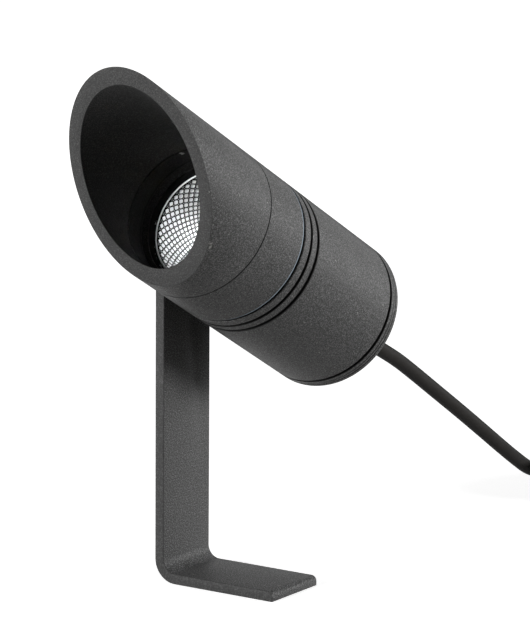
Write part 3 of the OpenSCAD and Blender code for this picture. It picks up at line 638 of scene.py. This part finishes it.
def make_band():
    """A mask that is one within half of the middle, and falls to nothing just outside."""
    tree, g, given, give = new_group(
        "band",
        [("Value", FLOAT, 0.0), ("Middle", FLOAT, 0.0), ("Half", FLOAT, MM)],
        [("Mask", FLOAT)])
    away = g.math("ABSOLUTE", g.math("SUBTRACT", given["Value"], given["Middle"]))
    give("Mask", g.ramp(away, g.math("SUBTRACT", given["Half"], EDGE_SOFT),
                        g.math("ADD", given["Half"], EDGE_SOFT), 1.0, 0.0))
    return tree


def make_scuff_and_glint():
    """The colour with a small light spot of uneven outline within reach: wear and painted glints.
    """
    tree, g, given, give = new_group(
        "scuff_and_glint",
        [("Vector", VECTOR, None), ("Color", COLOR, None), ("Middle", VECTOR, None),
         ("Reach", FLOAT, MM)],
        [("Color", COLOR)])
    away = g.node("ShaderNodeVectorMath", {0: given["Vector"], 1: given["Middle"]},
                  operation="DISTANCE").outputs["Value"]
    flakes = g.ramp(g.noise(given["Vector"], 1000 / SCUFF_AND_GLINT_GRAIN, 2.0, 0.5), *SCUFF_AND_GLINT_BORDER)
    near_middle = g.ramp(away, g.math("MULTIPLY", given["Reach"], 0.5), given["Reach"], 1.0, 0.0)
    give("Color", g.mix(g.math("MULTIPLY", near_middle, flakes), given["Color"], SCUFF_AND_GLINT_TONE))
    return tree


COAT_GRAIN = make_coat_grain()
SOILING = make_soiling()
TURNING = make_turning()
LAMP_PLACE = make_lamp_place()
BAND = make_band()
SCUFF_AND_GLINT = make_scuff_and_glint()

# Materials


def new_material(name):
    """A material with its graph, its Principled shader and its Object coordinates."""
    material = bpy.data.materials.new(name)
    material.use_nodes = True
    graph = Graph(material.node_tree)
    shader = material.node_tree.nodes["Principled BSDF"]
    place = graph.node("ShaderNodeTexCoord").outputs["Object"]
    return material, graph, shader, place


def bump(graph, shader, height, distance, strength=1.0):
    node = graph.node("ShaderNodeBump", {"Height": height, "Strength": strength,
                                         "Distance": distance})
    graph.put(shader, "Normal", node.outputs[0])


def grey(value):
    return (value, value, value, 1)


def band(g, value, middle, half):
    return use_group(g, BAND, {"Value": value, "Middle": middle, "Half": half})["Mask"]


def painted_edge_shade(g, color, start, end, edge):
    """The colour, turned towards edge where the surface falls away from the eye: painted shade.
    """
    facing = g.node("ShaderNodeLayerWeight", {"Blend": 0.5}).outputs["Facing"]
    return g.mix(g.ramp(facing, start, end), color, edge)


# Coat: size of its grain in millimetres, its roughness, shine and relief, and then its colour,
# its specks and its pits
COAT_SIZE, COAT_ROUGHNESS, COAT_SHINE, COAT_RELIEF = 0.5, 0.55, 0.12, 0.08 * MM
COAT_BASE, COAT_LIGHT, COAT_DARK = grey(0.057), grey(0.27), grey(0.001)
# Slopes, from facing the eye to falling away from it, over which the coat turns to painted edge
# shade
COAT_SLOPES, COAT_EDGE_SHADE = (0.82, 0.93), grey(0.014)
# Black of seams, which are dark joints, and of grooves and bores, where it is painted shade; and
# the black of the line deep in the bore
JOINT_BLACK_AND_SHADE, BORE_BLACK = grey(0.003), grey(0.001)
# How deep the fainter grain of a cut reaches, and how much fainter it is
CUT_DEPTH, CUT_FAINTER = 0.3 * MM, 0.65
# Painted highlight on an edge: its colour, the places sideways between which it sets in, and how
# much shows
EDGE_HIGHLIGHT_TONE, HIGHLIGHT_SIDE, HIGHLIGHT_SHARE = (0.34, 0.42, 0.50, 1), (4 * MM, 16 * MM), 0.85


def powder_coat(name, cut_r=None, shade_share=1.0, dark_lines=(), bore_line=None,
                highlight_line=None, scuffs_and_glints=(), slant=None, flank=None):
    """Anthracite textured powder coat. Within cut_r, in seams, grooves and bores, it turns by
    shade_share to black, a painted shade. The dark_lines and, within cut_r, the bore_line, each
    given by its station along the lamp and half its width, turn black too: dark joints at seams
    and at the bore's step, painted shade at grooves. The highlight_line is a painted pale
    blue-grey highlight on an edge on the lamp's right, and scuffs_and_glints are the middle and
    reach of small light spots: rubbed spots, and painted glints. Slant is the station on the axis
    of a mouth cut at 45 degrees, and flank is half the width of a bar: the grain is fainter on
    such a cut and on the bar's two sides."""
    material, g, shader, place = new_material(name)
    ways = use_group(g, LAMP_PLACE, {"Vector": place})
    station = ways["Station"]
    light, dark = COAT_LIGHT, COAT_DARK
    if slant:
        on_cut = band(g, g.math("SUBTRACT", station, ways["Upward"]), slant, CUT_DEPTH)
    if flank:
        across = g.node("ShaderNodeSeparateXYZ", {0: place}).outputs[1]
        on_cut = g.ramp(g.math("ABSOLUTE", across), flank - 2 * CUT_DEPTH, flank - CUT_DEPTH)
    if slant or flank:
        fainter = g.math("MULTIPLY", on_cut, CUT_FAINTER)
        light, dark = g.mix(fainter, light, COAT_BASE), g.mix(fainter, dark, COAT_BASE)
    coat = use_group(g, COAT_GRAIN, {"Vector": place, "Size": COAT_SIZE, "Color": COAT_BASE,
                                     "Light": light, "Dark": dark, "Roughness": COAT_ROUGHNESS})
    color = coat["Color"]
    # Painted highlight on the bezel's rear edge, on the lamp's right
    if highlight_line:
        highlight = g.math("MULTIPLY", band(g, station, *highlight_line),
                      g.ramp(ways["Sideways"], *HIGHLIGHT_SIDE, 0.0, HIGHLIGHT_SHARE))
        color = g.mix(highlight, color, EDGE_HIGHLIGHT_TONE)
    # Painted shade: black within cut_r, in grooves and bores
    if cut_r:
        within = g.ramp(ways["Radius"], cut_r - EDGE_SOFT, cut_r + EDGE_SOFT, 1.0, 0.0)
        color = g.mix(g.math("MULTIPLY", within, shade_share), color, JOINT_BLACK_AND_SHADE)
    if bore_line:
        line = g.math("MULTIPLY", within, band(g, station, *bore_line))
        color = g.mix(line, color, BORE_BLACK)
    # Black lines: dark joints at seams, painted shade at grooves
    for dark_line in dark_lines:
        color = g.mix(band(g, station, *dark_line), color, JOINT_BLACK_AND_SHADE)
    # Rubbed spots, and painted glints
    for middle, reach in scuffs_and_glints:
        color = use_group(g, SCUFF_AND_GLINT, {"Vector": place, "Color": color, "Middle": middle,
                                       "Reach": reach})["Color"]
    # Painted shade along the coat's outlines, where it turns from the eye
    g.put(shader, "Base Color", painted_edge_shade(g, color, *COAT_SLOPES, COAT_EDGE_SHADE))
    g.put(shader, "Roughness", coat["Roughness"])
    shader.inputs["Specular IOR Level"].default_value = COAT_SHINE
    bump(g, shader, coat["Height"], COAT_RELIEF, 0.5)
    return material


def plain(name, color, roughness, metallic=0.0, dust=0.05, grain=0.0, **sockets):
    """A plain finish with a little soiling and, where grain is set, a fine uneven surface."""
    material, g, shader, place = new_material(name)
    film = use_group(g, SOILING, {"Vector": place, "Color": (*color, 1), "Amount": dust,
                                  "Roughness": roughness})
    g.put(shader, "Base Color", film["Color"])
    g.put(shader, "Roughness", film["Roughness"])
    shader.inputs["Metallic"].default_value = metallic
    for key, value in sockets.items():
        shader.inputs[key.replace("_", " ")].default_value = value
    if grain:
        bump(g, shader, g.noise(place, 1000 / grain, 2.0, 0.6), 0.02 * MM)
    return material


def turned_metal(name, color, roughness, pitch, sideways=False):
    """Metal with fine turning rings round the lamp's axis, or round the pivot's."""
    material, g, shader, place = new_material(name)
    if sideways:
        axis = g.node("ShaderNodeMapping", {"Vector": place, "Location": PIVOT,
                                            "Rotation": (0, math.pi / 2, 0)},
                      vector_type="TEXTURE").outputs[0]
    else:
        axis = lamp_axis(g, place)
    rings = use_group(g, TURNING, {"Vector": axis, "Pitch": pitch})
    film = use_group(g, SOILING, {"Vector": place, "Color": (*color, 1), "Amount": 0.03,
                                  "Roughness": roughness})
    g.put(shader, "Base Color", film["Color"])
    g.put(shader, "Roughness", g.math("ADD", film["Roughness"],
                                      g.ramp(rings["Mask"], 0, 1, -0.05, 0.07)))
    shader.inputs["Metallic"].default_value = 1.0
    bump(g, shader, rings["Height"], 0.01 * MM, 0.5)
    return material


def two_colors(name, right, left, split, roughness):
    """Insulation of a pair of wires: one colour on each side of x = split."""
    material, g, shader, place = new_material(name)
    parts = g.node("ShaderNodeSeparateXYZ", {0: place}).outputs
    side = g.math("GREATER_THAN", parts[0], split)
    film = use_group(g, SOILING, {"Vector": place, "Color": g.mix(side, (*left, 1), (*right, 1)),
                                  "Amount": 0.04, "Roughness": roughness})
    g.put(shader, "Base Color", film["Color"])
    g.put(shader, "Roughness", film["Roughness"])
    bump(g, shader, g.noise(place, 2500, 2.0, 0.5), 0.01 * MM)
    return material


# Slopes over which rubber turns to its painted edge shade, that shade, the tone of dust on it,
# its shine
RUBBER_SLOPES, RUBBER_EDGE_SHADE, RUBBER_DUST = (0.4, 0.9), grey(0.006), grey(0.16)
RUBBER_SHINE = 0.03


def rubber(name, level, roughness, warm=0.0):
    """Dull rubber of an even tone, warmer than grey by the share warm."""
    material, g, shader, place = new_material(name)
    fine = g.noise(place, 2600, 3.0, 0.6)
    film = use_group(g, SOILING, {
        "Vector": place, "Color": (level * (1 + warm), level, level * (1 - warm), 1),
        "Amount": 0.05, "Roughness": roughness, "Size": 5.0, "Dust": RUBBER_DUST})
    # Painted shade along the rubber's outlines, where it turns from the eye
    g.put(shader, "Base Color", painted_edge_shade(g, film["Color"], *RUBBER_SLOPES, RUBBER_EDGE_SHADE))
    g.put(shader, "Roughness", film["Roughness"])
    shader.inputs["Specular IOR Level"].default_value = RUBBER_SHINE
    bump(g, shader, fine, 0.02 * MM, 0.6)
    return material


# Tint of the glass, its index of refraction, and the share of lamp light that it keeps back
GLASS_TINT, GLASS_INDEX, LENS_SHADE = (0.97, 0.99, 0.985, 1), 1.47, 0.08


def glass():
    """Clear glass with faint smears. Lamps shine through it, but for a little shade."""
    material, g, shader, place = new_material("clear_glass")
    shader.inputs["Base Color"].default_value = GLASS_TINT
    shader.inputs["Transmission Weight"].default_value = 1.0
    shader.inputs["IOR"].default_value = GLASS_INDEX
    smears = g.noise(place, 90, 3.0, 0.5)
    g.put(shader, "Roughness", g.ramp(smears, 0.5, 0.8, 0.0, 0.03))
    shadow = g.node("ShaderNodeLightPath").outputs["Is Shadow Ray"]
    g.put(shader, "Alpha", g.ramp(shadow, 0, 1, 1.0, LENS_SHADE, smooth=False))
    return material


# The mirror's two tones, the painted shade of its creases, and the range of its gloss
MIRROR_TONES = (0.95, 0.95, 0.96, 1), (0.88, 0.88, 0.90, 1)
CREASE_SHADE, MIRROR_GLOSS = grey(0.003), (0.28, 0.32)


def mirror(name, crease=False):
    """Vacuum-coated aluminium, with a painted shade in the creases that other facets don't see.
    """
    material, g, shader, place = new_material(name)
    haze = g.noise(place, 120, 3.0, 0.6)
    color = g.mix(g.ramp(haze, 0.4, 0.8), *MIRROR_TONES)
    # Painted shade in the creases, seen directly and through the glass
    if crease:
        path = g.node("ShaderNodeLightPath").outputs
        direct = g.math("ADD", path["Is Camera Ray"], path["Is Transmission Ray"], clamp=True)
        color = g.mix(direct, color, CREASE_SHADE)
    g.put(shader, "Base Color", color)
    shader.inputs["Metallic"].default_value = 1.0
    g.put(shader, "Roughness", g.ramp(haze, 0.3, 0.8, *MIRROR_GLOSS))
    return material


def board(name, base, mark, cell, share):
    """A printed circuit board: tracks of one tone on another under the solder mask. Cell is the
    size of the pattern in millimetres, and share the width of its tracks in it."""
    material, g, shader, place = new_material(name)
    tracks = g.node("ShaderNodeTexBrick", {"Vector": place, "Color1": (1, 1, 1, 1),
                                           "Color2": (0.2, 0.2, 0.2, 1),
                                           "Mortar": (0, 0, 0, 1), "Scale": 1000 / cell,
                                           "Mortar Size": share}).outputs["Color"]
    color = g.mix(tracks, (*base, 1), (*mark, 1))
    film = use_group(g, SOILING, {"Vector": place, "Color": color, "Amount": 0.03,
                                  "Roughness": 0.35})
    g.put(shader, "Base Color", film["Color"])
    g.put(shader, "Roughness", film["Roughness"])
    return material


def woven(name):
    """Narrow hook-and-loop tape: a fine rib across a dark cloth."""
    material, g, shader, place = new_material(name)
    weave = g.node("ShaderNodeTexWave", {"Vector": place, "Scale": 700.0, "Distortion": 1.5,
                                         "Detail": 2.0}, wave_type="BANDS",
                   bands_direction="DIAGONAL").outputs["Fac"]
    g.put(shader, "Base Color", g.mix(weave, grey(0.012), grey(0.035)))
    shader.inputs["Roughness"].default_value = 0.85
    bump(g, shader, weave, 0.1 * MM, 0.8)
    return material


# Lines round the head: station of the middle and half the width. The seams and the bore's step
# are dark joints, the grooves' bands painted shade, and the edge highlight a painted highlight
REAR_SEAM, FRONT_SEAM = (-53.7 * MM, 0.14 * MM), (44.0 * MM, 0.34 * MM)
REAR_GROOVE, REAR_LINE = (-49.6 * MM, 0.95 * MM), (-52.2 * MM, 0.28 * MM)
SECOND_GROOVE, THIRD_GROOVE = (13.4 * MM, 0.95 * MM), (8.4 * MM, 1.2 * MM)
EDGE_HIGHLIGHT, BORE_STEP = (19.8 * MM, 0.2 * MM), (COUNTERBORE_END, 0.5 * MM)
# Radii within which the housing's, the bezel's and the shield's coat lies in a cut or a bore, and
# how much of the black, a painted shade, it takes there
BODY_CUT, BEZEL_CUT, SHIELD_CUT = 29.72 * MM, 29.5 * MM, 25.15 * MM
BEZEL_BORE_SHADE, SHIELD_BORE_SHADE = 0.88, 0.77
# Light spots: middle and reach, one painted glint in the bore and two rubbed spots at the right
# of the rim
BORE_GLINT = [(on_lamp(-11.0 * MM, 51.1 * MM, 22.4 * MM), 1.3 * MM)]
RIM_SCUFFS = [(on_lamp(25.6 * MM, 69.0 * MM, -15.8 * MM), 1.2 * MM),
              (on_lamp(24.9 * MM, 67.9 * MM, -16.9 * MM), 1.2 * MM)]
BROWN, BLUE, RED, BLACK = (0.16, 0.07, 0.03), (0.04, 0.12, 0.35), (0.5, 0.03, 0.03), (0.02,) * 3
STAINLESS = (0.56, 0.56, 0.57)
# Place sideways between the two cores at the flex's far end
CORES_MIDDLE = 68 * MM

coat_bar = powder_coat("powder_coat_bar", flank=BAR_W / 2)
coat_cover = powder_coat("powder_coat_cover", dark_lines=[REAR_SEAM])
coat_body = powder_coat("powder_coat_grooved", cut_r=BODY_CUT,
                        dark_lines=[REAR_SEAM, REAR_LINE, REAR_GROOVE, SECOND_GROOVE,
                                    THIRD_GROOVE])
coat_bezel = powder_coat("powder_coat_bezel", cut_r=BEZEL_CUT, shade_share=BEZEL_BORE_SHADE,
                         dark_lines=[FRONT_SEAM], highlight_line=EDGE_HIGHLIGHT, scuffs_and_glints=BORE_GLINT)
coat_shield = powder_coat("powder_coat_shield", cut_r=SHIELD_CUT, shade_share=SHIELD_BORE_SHADE,
                          dark_lines=[FRONT_SEAM], bore_line=BORE_STEP, scuffs_and_glints=RIM_SCUFFS,
                          slant=MOUTH)
seal = rubber("seal_rubber", 0.014, 0.7)
cable = rubber("cable_rubber", 0.028, 0.55, warm=0.06)
steel = turned_metal("stainless_steel", STAINLESS, 0.28, 0.12, sideways=True)
steel_screw = turned_metal("stainless_screws", STAINLESS, 0.28, 0.12)
dark_metal = plain("blackened_brass", (0.055, 0.055, 0.058), 0.34, metallic=0.7, grain=0.5)
flex_cores = two_colors("core_insulation", BROWN, BLUE, CORES_MIDDLE, 0.4)
supply_pair = two_colors("supply_insulation", BROWN, BLUE, 0, 0.4)
light_source_pair = two_colors("light_source_insulation", RED, BLACK, 0, 0.4)

FINISHES = {
    "bracket": coat_bar, "housing": coat_body, "front_bezel": coat_bezel,
    "glare_shield": coat_shield, "rear_cover": coat_cover,
    "gland_body": dark_metal, "gland_nut": dark_metal,
    "pivot_bolt": steel, "spring_washer": steel, "flat_washer": steel, "threaded_insert": steel,
    "led_holder_screws": steel_screw, "carrier_screws": steel_screw, "cover_screws": steel_screw,
    "pivot_bush": turned_metal("bronze", (0.62, 0.40, 0.18), 0.35, 0.15, sideways=True),
    "friction_washer": plain("natural_nylon", (0.72, 0.70, 0.64), 0.5, grain=0.4,
                             Subsurface_Weight=0.1, Subsurface_Scale=0.001),
    "led_holder": plain("white_nylon", (0.80, 0.80, 0.77), 0.45, grain=0.4),
    "driver_carrier": plain("moulded_nylon", (0.74, 0.73, 0.69), 0.5, grain=0.4),
    "bezel_seal": seal, "shield_oring": seal, "lens_gasket": seal, "cover_oring": seal,
    "gland_gasket": seal, "gland_seal": rubber("seal_grey_rubber", 0.06, 0.65),
    "strain_relief": rubber("relief_rubber", 0.024, 0.6),
    "cord_inlet": cable,
    "glass_lens": glass(), "reflector": mirror("mirror_aluminium"),
    "reflector_sleeve": turned_metal("bare_aluminium", (0.80, 0.80, 0.81), 0.32, 0.2),
    "led_board": board("white_board", (0.80, 0.80, 0.78), (0.72, 0.72, 0.70), 4.0, 0.05),
    "led_chip": plain("chip_ceramic", (0.82, 0.81, 0.76), 0.4, grain=0.3),
    "led_phosphor": plain("phosphor", (0.85, 0.62, 0.10), 0.45, dust=0.0, grain=0.2),
    "thermal_pad": plain("thermal_silicone", (0.40, 0.50, 0.56), 0.75, grain=0.6),
    "driver_board": board("green_board", (0.015, 0.11, 0.05), (0.03, 0.19, 0.08), 2.4, 0.12),
    "driver_inductor": plain("ferrite", (0.045, 0.042, 0.042), 0.6, grain=0.4),
    "driver_capacitors": plain("capacitor_sleeve", (0.03, 0.05, 0.13), 0.35),
    "driver_terminal": plain("terminal_plastic", (0.05, 0.26, 0.12), 0.45, grain=0.4),
    "led_wires": light_source_pair, "supply_wires": supply_pair, "cord_cores": flex_cores,
    "core_ferrules": plain("tinned_copper", (0.72, 0.71, 0.69), 0.3, metallic=1.0),
    "coil_tie": woven("tie_fabric"),
}


def dress(piece, material):
    """Gives the piece this material and no other."""
    if piece.data.materials:
        piece.data.materials.clear()
    piece.data.materials.append(material)


for name, material in FINISHES.items():
    dress(nodes[name], material)
dress(flex, cable)
dress(bent_bar, coat_bar)
dress(slanted_shield, coat_shield)
dress(facetted_reflector, FINISHES["reflector"])
facetted_reflector.data.materials.append(mirror("mirror_crease_shade", crease=True))

# Studio

WHITE = (1, 1, 1, 1)
# Floor: its width, its colour where it is seen, and the duller one of the light it throws back
FLOOR_SIZE, FLOOR_SEEN, FLOOR_LIT = 6, (0.85, 0.85, 0.85, 1), (0.16, 0.155, 0.14, 1)
# Glow of the floor under the lamp and far from it, and the distances between which it rises
FLOOR_GLOW, FAR_GLOW = 0.76, 1.0
GLOW_NEAR, GLOW_FAR = 0.3, 1.2
# Softboxes: name, azimuth from -Y towards +X, elevation, size and power. All stand at one
# distance from a point over the floor
SOFTBOXES = [("left box", -18, 12, 0.9, 38.5), ("right box", 120, 8, 0.5, 29.5),
             ("rear box", 150, 8, 0.5, 11.5), ("back box", 266, 5, 0.9, 15.0)]
BOX_DISTANCE, BOX_AIM = 2, Vector((0, 0, 0.1))


def seen_rays(g):
    """One for rays of the camera, of reflections and through glass."""
    path = g.node("ShaderNodeLightPath").outputs
    seen = g.math("ADD", path["Is Camera Ray"], path["Is Glossy Ray"], clamp=True)
    return g.math("ADD", seen, path["Is Transmission Ray"], clamp=True)


def make_floor():
    """A pale floor that shows the shadow, and whose glow fades it into the white backdrop."""
    bpy.ops.mesh.primitive_plane_add(size=FLOOR_SIZE, location=(0, 0, 0))
    floor = bpy.context.object
    floor.name = "floor"
    material, g, shader, place = new_material("floor")
    shader.inputs["Roughness"].default_value = 0.9
    shader.inputs["Specular IOR Level"].default_value = 0.1
    seen = seen_rays(g)
    away = g.node("ShaderNodeVectorMath", {0: place}, operation="LENGTH").outputs["Value"]
    glow = g.math("MULTIPLY", seen, g.ramp(away, GLOW_NEAR, GLOW_FAR, FLOOR_GLOW, FAR_GLOW))
    g.put(shader, "Base Color", g.mix(seen, FLOOR_LIT, FLOOR_SEEN))
    shader.inputs["Emission Color"].default_value = WHITE
    g.put(shader, "Emission Strength", glow)
    floor.data.materials.append(material)
    floor.select_set(False)
    return floor


def add_backdrop():
    """A world that is white where it is seen, and gives matt surfaces no light."""
    world = bpy.data.worlds.new("studio")
    scene.world = world
    world.use_nodes = True
    g = Graph(world.node_tree)
    background = world.node_tree.nodes["Background"]
    background.inputs["Color"].default_value = WHITE
    g.put(background, "Strength", seen_rays(g))


def add_softboxes():
    for name, azimuth, elevation, size, power in SOFTBOXES:
        data = bpy.data.lights.new(name, "AREA")
        data.shape = "DISK"
        data.size = size
        data.energy = power
        light = bpy.data.objects.new(name, data)
        scene.collection.objects.link(light)
        a, e = math.radians(azimuth), math.radians(elevation)
        toward = Vector((math.sin(a) * math.cos(e), -math.cos(a) * math.cos(e), math.sin(e)))
        light.matrix_world = (Matrix.Translation(toward * BOX_DISTANCE + BOX_AIM)
                              @ toward.to_track_quat("Z", "Y").to_matrix().to_4x4())


def studio():
    """Adds the surroundings, and gives back their floor."""
    floor = make_floor()
    add_backdrop()
    add_softboxes()
    return floor


studio()
scene.view_settings.view_transform = "Standard"
